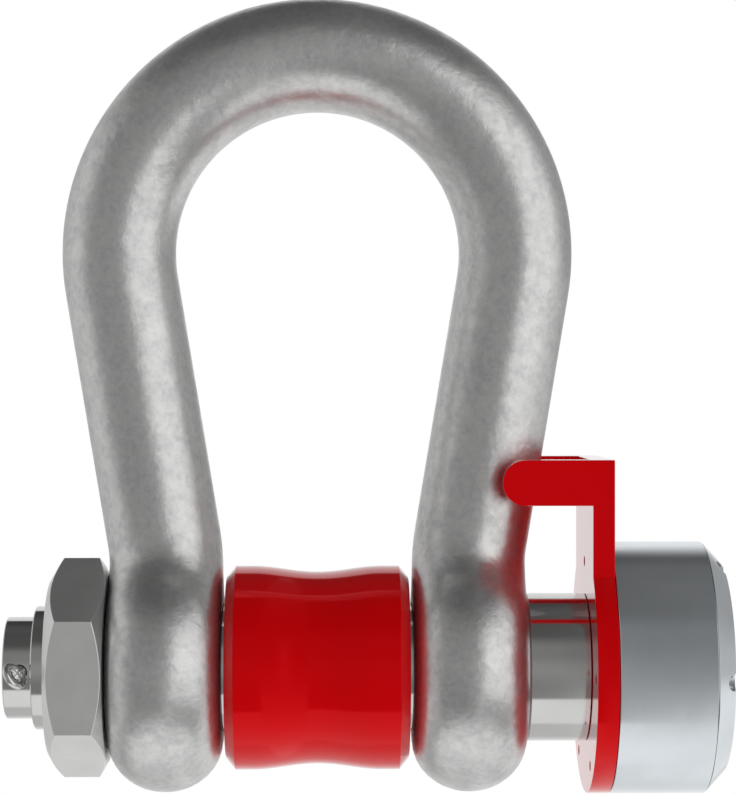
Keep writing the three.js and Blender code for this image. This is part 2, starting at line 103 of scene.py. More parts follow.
BOW_LOW, BOW_HIGH = extent("bow")
PIN_LOW, PIN_HIGH = extent("load_pin")
NUT_LOW, NUT_HIGH = extent("hex_nut")
BOBBIN_HIGH = extent("bobbin")[1]
BRACKET_LOW, BRACKET_HIGH = extent("anti_rotation_bracket")
DRUM_LOW, DRUM_HIGH = extent("housing_body")
COVER_LOW, COVER_HIGH = extent("end_cover")
BOARD_LOW, BOARD_HIGH = extent("circuit_board")
DRUM_RADIUS = DRUM_HIGH.z
COVER_END = COVER_HIGH.x
GAP = 0.3  # clearance kept in the CAD between pieces that touch

# ---------------------------------------------------------------- sizes (mm, degrees)
STOCK_RADIUS = 38
EYE_RADIUS = -BOW_LOW.z
EYE_FACE_RADIUS = 49.3  # flat side of an eye; the rim is rounded as half an ellipse from here out
LUG_CENTRE = 101.5
EYE_FILLET = 40
CROWN_RADIUS = BOW_HIGH.x - STOCK_RADIUS
CROWN_HEIGHT = BOW_HIGH.z - BOW_HIGH.x
LEG_LEAN = 9.46
KNEE_RADIUS = 120
BORE_RADIUS = 42.75

PIN_RADIUS = 41.25
STUB_RADIUS = 34
HEAD_START = 139.8
HEAD_END = 179.8
HEAD_RADIUS = 49.5
SPIGOT_RADIUS = 24
GAUGE_BORE = {"radius": 15, "end": -90}
THREAD_START = -188
COTTER = {"x": -196.4, "z": 0.6, "radius": 4.75, "tail": 12}
COTTER_EYE = {"wire": 2.5, "length": 19, "width": 15.6, "lean": 37, "tilt": 36}
PLATE_THICKNESS = 14.3
ARM = {"thickness": 13.5, "height": 30}
BOLT_CIRCLE = 71.2
BOLT_ANGLES = (-2, 70, 142, 214, 286)  # 0 is the front, 90 the top
SET_SCREW_ANGLES = (0, 90, 180, 240, 300)
BOLT_HOLE = 3.3
BOLT_TIP = 238
COUNTERBORE = {"radius": 5.65, "floor": 260.9}
CAVITY_RADIUS = 61
DRUM_FLOOR = 8
SEAL_GROOVE = {"inner": 62.6, "outer": 66.4, "depth": 3}
WEB_START = 262
BEHIND_WEB = WEB_START - 1
BEYOND_FACE = COVER_END + 2
BEVEL = 13.5
WINDOW = {"seat": 24.3, "ledge": 20, "depth": 5.6}
BUTTON = {
    "z": -42, "well": 7.9, "floor": 266, "groove": 5.6, "groove_start": 263.9, "stem": 3.3,
    "cap": 7.6, "cap_start": 268,
}
LENS_HOLE = 2.8
BOARD_HOLES = {"radius": 1.8, "circle": 47, "angles": (30, 150, 270)}
BODY_SIDES = 144


def on_circle(radius, angle):
    """(y, z) on a circle about the pin axis."""
    turn = math.radians(angle)
    return -radius * math.cos(turn), radius * math.sin(turn)


def turns(count):
    """Equal steps round a full circle, in radians."""
    return [2 * math.pi * k / count for k in range(count)]


def regular(radius, centre, count):
    """Regular polygon as a closed 2-D outline."""
    u, v = centre
    return [(u + radius * math.cos(turn), v + radius * math.sin(turn)) for turn in turns(count)]


# ---------------------------------------------------------------- mesh tools
def rounded(corners, closed):
    """Outline of 2-D corners (u, v) or (u, v, fillet radius), with the fillets as arcs."""
    steps = 4
    points = []
    count = len(corners)
    for i, (u, v, *fillet) in enumerate(corners):
        here = Vector((u, v))
        if not fillet or (not closed and i in (0, count - 1)):
            points.append(here)
            continue
        before = (Vector(corners[i - 1][:2]) - here).normalized()
        after = (Vector(corners[(i + 1) % count][:2]) - here).normalized()
        half_angle = before.angle(after) / 2
        centre = here + (before + after).normalized() * fillet[0] / math.sin(half_angle)
        start = (here + before * fillet[0] / math.tan(half_angle) - centre).normalized()
        end = (here + after * fillet[0] / math.tan(half_angle) - centre).normalized()
        points += [centre + fillet[0] * start.slerp(end, k / steps) for k in range(steps + 1)]
    return points


def bridge(bm, first, second):
    """Faces between two rings of vertices; a ring may be a single vertex."""
    count = max(len(first), len(second))
    for i in range(count):
        j = (i + 1) % count
        near = [first[i % len(first)], first[j % len(first)]]
        far = [second[j % len(second)], second[i % len(second)]]
        unique = list(dict.fromkeys(near + far))
        if len(unique) > 2:
            bm.faces.new(unique)


def lathe(corners, sides=BODY_SIDES, at=(0, 0)):
    """Solid turned about an axis along X through at=(y, z), from [x, radius, fillet] corners."""
    closed = corners[0][1] > 0
    outline = rounded(corners, closed)
    bm = bmesh.new()
    rings = []
    for x, radius in outline:
        if radius < 1e-6:
            rings.append([bm.verts.new((x, *at))])
            continue
        rings.append([bm.verts.new((x, y, z)) for y, z in regular(radius, at, sides)])
    for first, second in zip(rings, rings[1:]):
        bridge(bm, first, second)
    if closed:
        bridge(bm, rings[-1], rings[0])
    bmesh.ops.recalc_face_normals(bm, faces=bm.faces)
    return bm


def prism(outline, start, end, axis="X"):
    """Straight solid from a closed 2-D outline, along X (outline in y, z) or Y (outline in x, z)."""
    bm = bmesh.new()
    ends = []
    for along in (start, end):
        if axis == "X":
            ends.append([bm.verts.new((along, u, v)) for u, v in outline])
        else:
            ends.append([bm.verts.new((u, along, v)) for u, v in outline])
    for ring in ends:
        bm.faces.new(ring)
    bridge(bm, *ends)
    bmesh.ops.recalc_face_normals(bm, faces=bm.faces)
    return bm


def block(x, y, z):
    """Box from three spans."""
    return prism([(y[0], z[0]), (y[1], z[0]), (y[1], z[1]), (y[0], z[1])], *x)


def merge(*parts):
    """One bmesh that holds separate shells."""
    whole = bmesh.new()
    for part in parts:
        mesh = bpy.data.meshes.new("part")
        part.to_mesh(mesh)
        part.free()
        whole.from_mesh(mesh)
        bpy.data.meshes.remove(mesh)
    return whole


def to_object(bm, name="work"):
    mesh = bpy.data.meshes.new(name)
    bm.to_mesh(mesh)
    bm.free()
    obj = bpy.data.objects.new(name, mesh)
    SCENE.collection.objects.link(obj)
    return obj


def discard(obj):
    mesh = obj.data
    bpy.data.objects.remove(obj)
    bpy.data.meshes.remove(mesh)


def modified(bm, kind, **settings):
    """The bmesh after one modifier."""
    obj = to_object(bm)
    modifier = obj.modifiers.new("work", kind)
    for key, value in settings.items():
        setattr(modifier, key, value)
    result = bmesh.new()
    result.from_object(obj, bpy.context.evaluated_depsgraph_get())
    discard(obj)
    return result


def boolean(bm, tool, operation):
    cutter = to_object(tool, "cutter")
    result = modified(bm, "BOOLEAN", operation=operation, object=cutter, solver="EXACT")
    discard(cutter)
    bmesh.ops.dissolve_degenerate(result, dist=1e-4, edges=result.edges)
    return result


def carve(bm, *tools):
    return boolean(bm, merge(*tools), "DIFFERENCE")


def eased(bm, width, angle=35):
    """The bmesh with its sharp edges bevelled."""
    bmesh.ops.dissolve_limit(bm, angle_limit=math.radians(0.5), verts=bm.verts, edges=bm.edges)
    return modified(
        bm, "BEVEL", width=width, segments=2, limit_method="ANGLE",
        angle_limit=math.radians(angle), miter_outer="MITER_ARC",
    )


def turn_to(bm, angle, axis):
    """The bmesh turned by degrees about an axis through the origin."""
    bmesh.ops.transform(bm, matrix=Matrix.Rotation(math.radians(angle), 4, axis), verts=bm.verts)
    return bm


def shift(bm, way):
    bmesh.ops.translate(bm, vec=way, verts=bm.verts)
    return bm


# ---------------------------------------------------------------- node tools
class Nodes:
    """Short way to write a node tree: each call adds a node and gives back an output socket."""

    def __init__(self, tree):
        self.tree = tree
        tree.nodes.clear()

    def add(self, kind, inputs=(), output=0, **settings):
        node = self.tree.nodes.new("ShaderNode" + kind)
        for key, value in settings.items():
            setattr(node, key, value)
        for key, value in dict(inputs).items():
            if isinstance(value, bpy.types.NodeSocket):
                self.tree.links.new(value, node.inputs[key])
            else:
                node.inputs[key].default_value = value
        return node.outputs[output]

    def math(self, operation, *values):
        return self.add("Math", dict(enumerate(values)), operation=operation)

    def step(self, value, start, end, low=0.0, high=1.0):
        """Smooth rise from low at start to high at end."""
        spans = {"Value": value, "From Min": start, "From Max": end, "To Min": low, "To Max": high}
        return self.add("MapRange", spans, interpolation_type="SMOOTHSTEP")

    def window(self, value, start, full, fading, end):
        """Smooth rise to 1 and smooth fall back to 0."""
        fall = self.step(value, fading, end, 1.0, 0.0)
        return self.math("MULTIPLY", self.step(value, start, full), fall)

    def blend(self, factor, first, second):
        """Mix of two numbers."""
        return self.add("Mix", {0: factor, 2: first, 3: second}, data_type="FLOAT", output=0)

    def tint(self, factor, first, second):
        """Mix of two colours."""
        return self.add("Mix", {0: factor, 6: first, 7: second}, data_type="RGBA", output=2)

    def noise(self, where, scale, detail=3.0, roughness=0.5, distortion=0.0):
        inputs = {"Vector": where, "Scale": scale, "Detail": detail}
        inputs.update({"Roughness": roughness, "Distortion": distortion})
        return self.add("TexNoise", inputs)

    def range(self, value, low, high, start=0.3, end=0.7):
        """Straight rise from low at start to high at end, as suits a noise."""
        spans = {"Value": value, "From Min": start, "From Max": end, "To Min": low, "To Max": high}
        return self.add("MapRange", spans)

    def bump(self, height, distance, strength, normal=None):
        inputs = {"Height": height, "Distance": distance, "Strength": strength}
        if normal is not None:
            inputs["Normal"] = normal
        return self.add("Bump", inputs)


def shader(name):
    """(material, its node tools, object coordinates in metres)"""
    material = bpy.data.materials.new(name)
    material.use_nodes = True
    nodes = Nodes(material.node_tree)
    return material, nodes, nodes.add("TexCoord", output="Object")


def to_output(nodes, surface, kind="Material"):
    out = nodes.tree.nodes.new("ShaderNodeOutput" + kind)
    nodes.tree.links.new(surface, out.inputs["Surface"])


def finish_material(material, nodes, inputs):
    to_output(nodes, nodes.add("BsdfPrincipled", inputs))
    return material


def turned_marks(nodes, where, pitch):
    """Fine rings left by a lathe about the pin axis: noise of x and radius alone."""
    centred = nodes.add("VectorMath", {0: where, 1: -PIN_CENTRE}, operation="ADD")
    flat = nodes.add("VectorMath", {0: centred, 1: (0, 1, 1)}, operation="MULTIPLY")
    radius = nodes.add("VectorMath", {0: flat}, operation="LENGTH", output="Value")
    along = nodes.add("SeparateXYZ", {0: centred}, output="X")
    ring_place = nodes.add("CombineXYZ", {"X": along, "Y": radius})
    return nodes.noise(ring_place, 1 / (pitch * MM), detail=2.0)


# ---------------------------------------------------------------- materials
def galvanised_steel():
    """Zinc with soft clouds, spangle and pale flecks over a slightly wavy forging."""
    material, nodes, where = shader("galvanised_steel")
    patches = nodes.noise(where, 38, detail=4.0, roughness=0.6)
    spangle = nodes.noise(where, 110, detail=4.0, roughness=0.6, distortion=0.5)
    flecks = nodes.noise(where, 240, detail=3.0, roughness=0.65)
    grit = nodes.noise(where, 900, detail=2.0)
    broad = nodes.tint(nodes.range(patches, 0.0, 1.0), (0.63, 0.63, 0.625, 1), (0.75, 0.745, 0.73, 1))
    clouded = nodes.tint(nodes.range(spangle, 0.0, 0.62, 0.36, 0.64), broad, (0.53, 0.54, 0.55, 1))
    colour = nodes.tint(nodes.range(flecks, 0.0, 0.45, 0.4, 0.6), clouded, (0.79, 0.785, 0.77, 1))
    waves = nodes.bump(patches, 0.0013, 0.4)
    dimples = nodes.bump(spangle, 0.0005, 0.55, waves)
    return finish_material(material, nodes, {
        "Base Color": colour,
        "Metallic": 0.95,
        "Roughness": nodes.range(spangle, 0.29, 0.40),
        "Normal": nodes.bump(grit, 0.00006, 0.5, dimples),
    })


def stained(nodes, where, colour, shade, scale, detail):
    """Colour that drifts between the full one and a darker one."""
    stain = nodes.noise(where, scale, detail=detail)
    dark = [channel * shade for channel in colour]
    return nodes.tint(nodes.range(stain, 0.0, 1.0), (*dark, 1), (*colour, 1))


def turned_steel(name, colour, roughness, pitch, depth):
    """Metal with lathe marks; pitch and depth of the marks in millimetres."""
    material, nodes, where = shader(name)
    marks = turned_marks(nodes, where, pitch)
    return finish_material(material, nodes, {
        "Base Color": stained(nodes, where, colour, 0.92, 30, 3.0),
        "Metallic": 1.0,
        "Roughness": nodes.range(marks, roughness - 0.03, roughness + 0.04),
        "Normal": nodes.bump(marks, depth * MM, 0.5),
    })


def milled_steel(name, colour, roughness):
    """Metal with fine strokes across the pin axis."""
    material, nodes, where = shader(name)
    stretched = nodes.add("VectorMath", {0: where, 1: (1, 0.12, 0.12)}, operation="MULTIPLY")
    strokes = nodes.noise(stretched, 2200, detail=2.0)
    return finish_material(material, nodes, {
        "Base Color": stained(nodes, where, colour, 0.93, 45, 4.0),
        "Metallic": 1.0,
        "Roughness": nodes.range(strokes, roughness - 0.04, roughness + 0.05),
        "Normal": nodes.bump(strokes, 0.00002, 0.4),
    })


def red_coating():
    """Glossy red with a red-tinted sheen seen square on and a white one at a glancing angle."""
    material, nodes, where = shader("red_coating")
    peel = nodes.noise(where, 320, detail=2.0)
    drift = nodes.noise(where, 18, detail=2.0)
    colour = nodes.tint(nodes.range(drift, 0.0, 1.0), (0.94, 0.001, 0.003, 1), (0.97, 0.0012, 0.004, 1))
    return finish_material(material, nodes, {
        "Base Color": colour,
        "IOR": 2.0,
        "Specular Tint": (1, 0.015, 0.03, 1),
        "Coat Weight": 1.0,
        "Coat IOR": 1.14,
        "Coat Roughness": 0.06,
        "Roughness": nodes.range(peel, 0.06, 0.10),
        "Normal": nodes.bump(peel, 0.00002, 0.25),
    })


def smooth_plastic(name, colour, roughness, texture=700, depth=0.00002):
    material, nodes, where = shader(name)
    grain = nodes.noise(where, texture, detail=2.0)
    lighter = (*[min(1, channel * 1.25 + 0.004) for channel in colour], 1)
    return finish_material(material, nodes, {
        "Base Color": nodes.tint(nodes.range(grain, 0.0, 1.0), (*colour, 1), lighter),
        "Roughness": nodes.range(grain, roughness - 0.05, roughness + 0.06),
        "Normal": nodes.bump(grain, depth, 0.4),
    })


MATERIALS = {
    "bow_steel": galvanised_steel(),
    "pin_steel": turned_steel("ground_steel", (0.68, 0.68, 0.67), 0.10, 0.5, 0.002),
    "nut_steel": milled_steel("milled_steel", (0.89, 0.89, 0.88), 0.35),
    "bright_steel": turned_steel("bright_steel", (0.76, 0.76, 0.75), 0.12, 0.4, 0.002),
    "red_paint": red_coating(),
    "drum_aluminium": turned_steel("anodised_aluminium", (0.81, 0.855, 0.89), 0.13, 0.35, 0.0008),
    "black_oxide": turned_steel("black_oxide", (0.10, 0.10, 0.105), 0.35, 0.3, 0.003),
    "seal_rubber": smooth_plastic("nitrile_rubber", (0.02, 0.02, 0.021), 0.55),
    "board_green": smooth_plastic("solder_mask", (0.02, 0.20, 0.09), 0.25, 240),
    "black_plastic": smooth_plastic("black_plastic", (0.03, 0.032, 0.035), 0.42),
    "cell_jacket": smooth_plastic("cell_jacket", (0.10, 0.28, 0.14), 0.25, 300),
    "brass": turned_steel("turned_brass", (0.72, 0.52, 0.22), 0.25, 0.4, 0.003),
    "green_lens": smooth_plastic("green_lens", (0.03, 0.5, 0.10), 0.08, 500, 0.000002),
}


# ---------------------------------------------------------------- placing pieces
def piece(name, bm, node, *others, sharp=32, slot=None):
    """Place a mesh drawn in the pin frame: it rides with the node's body and replaces the nodes."""
    obj = to_object(bm, name)
    obj.data.transform(TO_ROW)
    obj.data.shade_smooth()
    obj.data.set_sharp_from_angle(angle=math.radians(sharp))
    weighted = obj.modifiers.new("normals", "WEIGHTED_NORMAL")
    weighted.keep_sharp = True
    slot = slot or SLOTS[node]
    obj.data.materials.append(MATERIALS[slot])
    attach(obj, frame["nodes"][node]["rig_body"])
    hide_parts(node, *others)


# ---------------------------------------------------------------- bow
def slice_half_width(offset, height):
    """Half of a lug's depth, front to back, at an offset from its middle plane and a height."""
    c = math.sqrt(max(0.0, 1 - (offset / STOCK_RADIUS) ** 2))
    leg = STOCK_RADIUS * c
    eye = EYE_FACE_RADIUS + (EYE_RADIUS - EYE_FACE_RADIUS) * c
    fillet_top = math.sqrt((eye + EYE_FILLET) ** 2 - (leg + EYE_FILLET) ** 2)
    fillet_foot = fillet_top * eye / (eye + EYE_FILLET)
    if height >= fillet_top:
        return leg
    if height > fillet_foot:
        return leg + EYE_FILLET - math.sqrt(EYE_FILLET ** 2 - (fillet_top - height) ** 2)
    return math.sqrt(max(0.0, eye ** 2 - height ** 2))


def reach_along(inside):
    """Distance at which a ray leaves a shape, by bisection."""
    low, high = 0.0, 130.0
    halvings = 36
    for _ in range(halvings):
        half = (low + high) / 2
        if inside(half):
            low = half
        else:
            high = half
    return low


def bar_reach(height, turn):
    """Distance from the bar's middle to its surface, at that height over the eye's centre."""
    across, along = math.cos(turn), math.sin(turn)

    def inside(t):
        offset = abs(t * across)
        return offset < STOCK_RADIUS and abs(t * along) < slice_half_width(offset, height)

    return reach_along(inside)


def eye_reach(turn, dip):
    """Distance from the eye's centre to the surface of its lower half."""
    across = math.cos(dip) * math.cos(turn)
    around = math.hypot(math.cos(dip) * math.sin(turn), math.sin(dip))

    def inside(t):
        offset = abs(t * across)
        return offset < STOCK_RADIUS and t * around < slice_half_width(offset, 0)

    return reach_along(inside)


def bow_centreline():
    """(x, z, direction) along the left half of the bar, from the eye's centre up to the crown."""
    lean = math.radians(LEG_LEAN)
    tangent_x = CROWN_RADIUS * math.cos(lean)
    tangent_z = CROWN_HEIGHT - CROWN_RADIUS * math.sin(lean)
    knee_z = tangent_z - (tangent_x - LUG_CENTRE) / math.tan(lean)
    cut_back = KNEE_RADIUS * math.tan(lean / 2)
    rows = []
    lug_steps, knee_steps, leg_steps, crown_steps = 26, 8, 26, 44
    for i in range(lug_steps):
        z = (knee_z - cut_back) * i / lug_steps
        rows.append((-LUG_CENTRE, z, math.pi / 2))
    for i in range(knee_steps):
        turn = lean * i / knee_steps
        x = -LUG_CENTRE - KNEE_RADIUS * (1 - math.cos(turn))
        rows.append((x, knee_z - cut_back + KNEE_RADIUS * math.sin(turn), math.pi / 2 + turn))
    foot = Vector((-LUG_CENTRE - cut_back * math.sin(lean), knee_z + cut_back * math.cos(lean)))
    top = Vector((-tangent_x, tangent_z))
    for i in range(leg_steps):
        x, z = foot.lerp(top, i / leg_steps)
        rows.append((x, z, math.pi / 2 + lean))
    for i in range(crown_steps + 1):
        turn = math.pi + lean - (math.pi / 2 + lean) * i / crown_steps
        x = CROWN_RADIUS * math.cos(turn)
        rows.append((x, CROWN_HEIGHT + CROWN_RADIUS * math.sin(turn), turn - math.pi / 2))
    return rows


def eye_rings(directions, dips=22):
    """Rings of points round the lower half of the left eye, from its foot upwards."""
    rings = []
    for i in range(dips, 0, -1):
        dip = math.pi / 2 * i / (dips + 0.5)
        ring = []
        for turn in directions:
            reach = eye_reach(turn, dip)
            flat = reach * math.cos(dip)
            x = -LUG_CENTRE - flat * math.cos(turn)
            ring.append((x, flat * math.sin(turn), -reach * math.sin(dip)))
        rings.append(ring)
    return rings


def bar_rings(directions):
    """Rings of points round the bar, from the left eye's centre up to the crown."""
    rings = []
    travelled = 0.0
    last = None
    for x, z, heading in bow_centreline():
        if last:
            travelled += math.hypot(x - last[0], z - last[1])
        last = (x, z)
        outward = (-math.sin(heading), math.cos(heading))
        ring = []
        for turn in directions:
            reach = bar_reach(travelled, turn)
            out = reach * math.cos(turn)
            ring.append((x + outward[0] * out, reach * math.sin(turn), z + outward[1] * out))
        rings.append(ring)
    return rings


def bow_mesh():
    """The forging without its bores, from the left foot over the crown to the right foot."""
    directions = turns(96)
    half = eye_rings(directions) + bar_rings(directions)
    mirrored = [[(-x, y, z) for x, y, z in ring] for ring in half[-2::-1]]
    bm = bmesh.new()
    rings = [[bm.verts.new(point) for point in ring] for ring in half + mirrored]
    poles = [[bm.verts.new((side * LUG_CENTRE, 0, -EYE_RADIUS))] for side in (-1, 1)]
    for first, second in zip([poles[0], *rings], [*rings, poles[1]]):
        bridge(bm, first, second)
    bmesh.ops.recalc_face_normals(bm, faces=bm.faces)
    return bm


def bow():
    outer_face = LUG_CENTRE + STOCK_RADIUS
    inner_face = LUG_CENTRE - STOCK_RADIUS
    chamfer, beyond, far = 1.2, 2, 9
    wide = BORE_RADIUS + chamfer + beyond
    half = [
        (outer_face + far, 0),
        (outer_face + far, wide),
        (outer_face + beyond, wide),
        (outer_face - chamfer, BORE_RADIUS),
        (inner_face + chamfer, BORE_RADIUS),
        (inner_face - beyond, wide),
    ]
    reamer = half + [(-x, radius) for x, radius in reversed(half)]
    piece("bow_forging", carve(bow_mesh(), lathe(reamer)), "bow", sharp=28)


# ---------------------------------------------------------------- pin, nut, split pin, bobbin
def load_pin():
    centre_drill, chamfer = 4, 0.7
    shoulder = THREAD_START - 0.8
    body = lathe([
        (PIN_LOW.x + centre_drill, 0),
        (PIN_LOW.x, centre_drill * 0.8),
        (PIN_LOW.x, STUB_RADIUS - chamfer, 0.2),
        (PIN_LOW.x + chamfer, STUB_RADIUS, 0.2),
        (shoulder, STUB_RADIUS, 0.3),
        (shoulder, PIN_RADIUS - 0.9, 0.2),
        (THREAD_START, PIN_RADIUS, 0.3),
        (HEAD_START, PIN_RADIUS, 1.0),
        (HEAD_START, HEAD_RADIUS - 1, 0.3),
        (HEAD_START + 1, HEAD_RADIUS, 0.3),
        (HEAD_END, HEAD_RADIUS, 0.4),
        (HEAD_END, SPIGOT_RADIUS, 0.6),
        (PIN_HIGH.x, SPIGOT_RADIUS, 0.8),
        (PIN_HIGH.x, GAUGE_BORE["radius"], 0.5),
        (GAUGE_BORE["end"], GAUGE_BORE["radius"], 0.5),
        (GAUGE_BORE["end"], 0),
    ])
    reach = STUB_RADIUS + 4
    circle = regular(COTTER["radius"] + 0.5, (COTTER["x"], COTTER["z"]), 48)
    piece("load_pin_body", carve(body, prism(circle, -reach, reach, "Y")), "load_pin")


def hex_nut():
    corner = NUT_HIGH.z
    rim, back_rim, outside = 58.6, 62.5, corner + 0.5
    slope = math.tan(math.radians(30))
    hexagon = prism([(y, z) for z, y in regular(corner, (0, 0), 6)], NUT_LOW.x, NUT_HIGH.x)
    chamfers = lathe([
        (NUT_LOW.x, 0),
        (NUT_LOW.x, rim),
        (NUT_LOW.x + (outside - rim) * slope, outside),
        (NUT_HIGH.x - (outside - back_rim) * slope, outside),
        (NUT_HIGH.x, back_rim),
        (NUT_HIGH.x, 0),
    ], 288)
    nut = boolean(hexagon, chamfers, "INTERSECT")
    bore = PIN_RADIUS + GAP
    countersink = 1.6
    tap = lathe([
        (NUT_LOW.x - 1, 0),
        (NUT_LOW.x - 1, bore + countersink + 1),
        (NUT_LOW.x + countersink, bore),
        (NUT_HIGH.x - countersink, bore),
        (NUT_HIGH.x + 1, bore + countersink + 1),
        (NUT_HIGH.x + 1, 0),
    ])
    piece("hexagon_nut", eased(carve(nut, tap), 0.45, angle=20), "hex_nut", sharp=40)


def bobbin():
    rim, half = BOBBIN_HIGH.z, BOBBIN_HIGH.x
    waist, flat, chamfer, drop, bore = 64.2, 11, 6.3, 7.6, 42
    waist_half = half - chamfer - flat
    curve = []
    steps = 40
    for i in range(steps + 1):
        along = 2 * i / steps - 1
        curve.append((waist_half * along, rim - (rim - waist) * (1 + math.cos(math.pi * along)) / 2))
    profile = [(-half, bore, 1.0), (-half, rim - drop, 0.8), (-half + chamfer, rim, 0.8), *curve]
    profile += [(half - chamfer, rim, 0.8), (half, rim - drop, 0.8), (half, bore, 1.0)]
    piece("bobbin_sleeve", lathe(profile, 160), "bobbin")


def split_pin_eye():
    """Oval ring of round wire that starts at the origin and reaches out along -Y, long side along Z."""
    wire = COTTER_EYE["wire"]
    half_length = COTTER_EYE["length"] / 2 - wire
    half_width = COTTER_EYE["width"] / 2 - wire
    bm = bmesh.new()
    rings = []
    for turn in turns(64):
        centre = Vector((0, half_width * math.cos(turn) - half_width, half_length * math.sin(turn)))
        outward = Vector((0, math.cos(turn) / half_width, math.sin(turn) / half_length)).normalized()
        ring = []
        for around in turns(20):
            offset = math.cos(around) * outward + math.sin(around) * Vector((1, 0, 0))
            ring.append(bm.verts.new(centre + wire * offset))
        rings.append(ring)
    for first, second in zip(rings, rings[1:] + rings[:1]):
        bridge(bm, first, second)
    return bm


def split_pin_legs(start, end):
    """Two half-round legs along +Y, drawn in to the wire at the eye."""
    radius, half_slit = COTTER["radius"], 0.2
    legs = lathe([
        (start, 0),
        (start, 1.6),
        (start + 3, radius, 2.5),
        (end, radius, 0.8),
        (end, 0),
    ], 48)
    slit = block((start + 5, end + 1), (-radius - 1, radius + 1), (-half_slit, half_slit))
    return turn_to(carve(legs, slit), 90, "Z")


def split_pin():
    neck = -STUB_RADIUS - 1.5
    eye = shift(turn_to(split_pin_eye(), -COTTER_EYE["tilt"], "Z"), (0, neck, 0))
    whole = merge(eye, split_pin_legs(neck - COTTER_EYE["wire"], STUB_RADIUS + COTTER["tail"]))
    shift(turn_to(whole, -COTTER_EYE["lean"], "Y"), (COTTER["x"], 0, COTTER["z"]))
    bmesh.ops.recalc_face_normals(whole, faces=whole.faces)
    piece("split_pin_wire", whole, "cotter_pin", sharp=50)


# ---------------------------------------------------------------- anti-rotation bracket
def through_hole(start, end, radius, at=(0, 0), sides=32):
    """Cutter for a hole with both of its edges broken."""
    beyond, broken = 2, 0.4
    wide = radius + beyond + broken
    return lathe([
        (start - beyond, 0),
        (start - beyond, wide),
        (start + broken, radius),
        (end - broken, radius),
        (end + beyond, wide),
        (end + beyond, 0),
    ], sides, at)


def plate_outline(half_width, top):
    """Disc with a straight-sided tongue up to the arms, in y and z."""
    edge = math.asin(half_width / DRUM_RADIUS)
    outline = [(-half_width, top), (half_width, top)]
    steps = 132
    for k in range(steps + 1):
        turn = edge + (2 * math.pi - 2 * edge) * k / steps
        outline.append((DRUM_RADIUS * math.sin(turn), DRUM_RADIUS * math.cos(turn)))
    return outline


def arm_outline(root, top):
    """Arm with a round end, in x and z."""
    height = ARM["height"]
    radius = height / 2
    tip = BRACKET_LOW.x
    outline = [(root, top), (tip + radius, top)]
    steps = 24
    for k in range(1, steps):
        turn = math.pi / 2 + math.pi * k / steps
        outline.append((tip + radius * (1 + math.cos(turn)), top - radius * (1 - math.sin(turn))))
    return outline + [(tip + radius, top - height), (root, top - height)]


def bracket():
    end = BRACKET_HIGH.x
    start = end - PLATE_THICKNESS
    half_width, overlap = 55, 2
    top = BRACKET_HIGH.z
    plate = prism(plate_outline(half_width, top), start, end)
    arm = arm_outline(start + overlap, top)
    arms = [
        prism(arm, -half_width, -half_width + ARM["thickness"], "Y"),
        prism(arm, half_width - ARM["thickness"], half_width, "Y"),
    ]
    whole = boolean(plate, merge(*arms), "UNION")
    holes = []
    for angle in SET_SCREW_ANGLES:
        holes.append(through_hole(start, end, BOLT_HOLE, on_circle(BOLT_CIRCLE, angle)))
    holes.append(through_hole(start, end, SPIGOT_RADIUS + GAP, sides=96))
    piece("bracket_fork", carve(eased(whole, 0.6), *holes), "anti_rotation_bracket", sharp=40)


# ---------------------------------------------------------------- telemetry drum
def drum_bolt_hole(angle):
    """Cutter for a blind hole with a small countersink."""
    foot, mouth, countersink = BOLT_TIP - 3, DRUM_HIGH.x, 0.6
    return lathe([
        (foot, 0),
        (foot, BOLT_HOLE),
        (mouth - countersink, BOLT_HOLE),
        (mouth + 1, BOLT_HOLE + countersink + 1),
        (mouth + 1, 0),
    ], 32, on_circle(BOLT_CIRCLE, angle))


def drum_body():
    end = DRUM_HIGH.x
    floor_end = DRUM_LOW.x + DRUM_FLOOR
    groove_floor = end - SEAL_GROOVE["depth"]
    spigot_hole = SPIGOT_RADIUS + GAP
    cup = lathe([
        (DRUM_LOW.x, spigot_hole, 0.4),
        (DRUM_LOW.x, DRUM_RADIUS, 0.7),
        (end, DRUM_RADIUS, 0.35),
        (end, SEAL_GROOVE["outer"], 0.2),
        (groove_floor, SEAL_GROOVE["outer"], 0.3),
        (groove_floor, SEAL_GROOVE["inner"], 0.3),
        (end, SEAL_GROOVE["inner"], 0.2),
        (end, CAVITY_RADIUS, 0.4),
        (floor_end, CAVITY_RADIUS, 2.5),
        (floor_end, spigot_hole, 0.4),
    ], 160)
    piece("drum_cup", carve(cup, *map(drum_bolt_hole, BOLT_ANGLES)), "housing_body")


def cover_blank():
    """Bevelled disc with the register that centres it in the drum."""
    inner, outer = CAVITY_RADIUS - 8.4, CAVITY_RADIUS - 0.4
    start = DRUM_HIGH.x + GAP
    return lathe([
        (WEB_START, 0),
        (WEB_START, inner, 1.5),
        (COVER_LOW.x, inner, 0.4),
        (COVER_LOW.x, outer, 0.5),
        (start, outer, 0.3),
        (start, DRUM_RADIUS, 0.3),
        (COVER_END, DRUM_RADIUS - BEVEL, 0.5),
        (COVER_END, 0),
    ], 160)


def cover_bolt_hole(angle):
    """Cutter for a counterbored hole."""
    foot = WEB_START - 9
    return lathe([
        (foot, 0),
        (foot, BOLT_HOLE),
        (COUNTERBORE["floor"], BOLT_HOLE, 0.2),
        (COUNTERBORE["floor"], COUNTERBORE["radius"], 0.3),
        (BEYOND_FACE, COUNTERBORE["radius"]),
        (BEYOND_FACE, 0),
    ], 48, on_circle(BOLT_CIRCLE, angle))


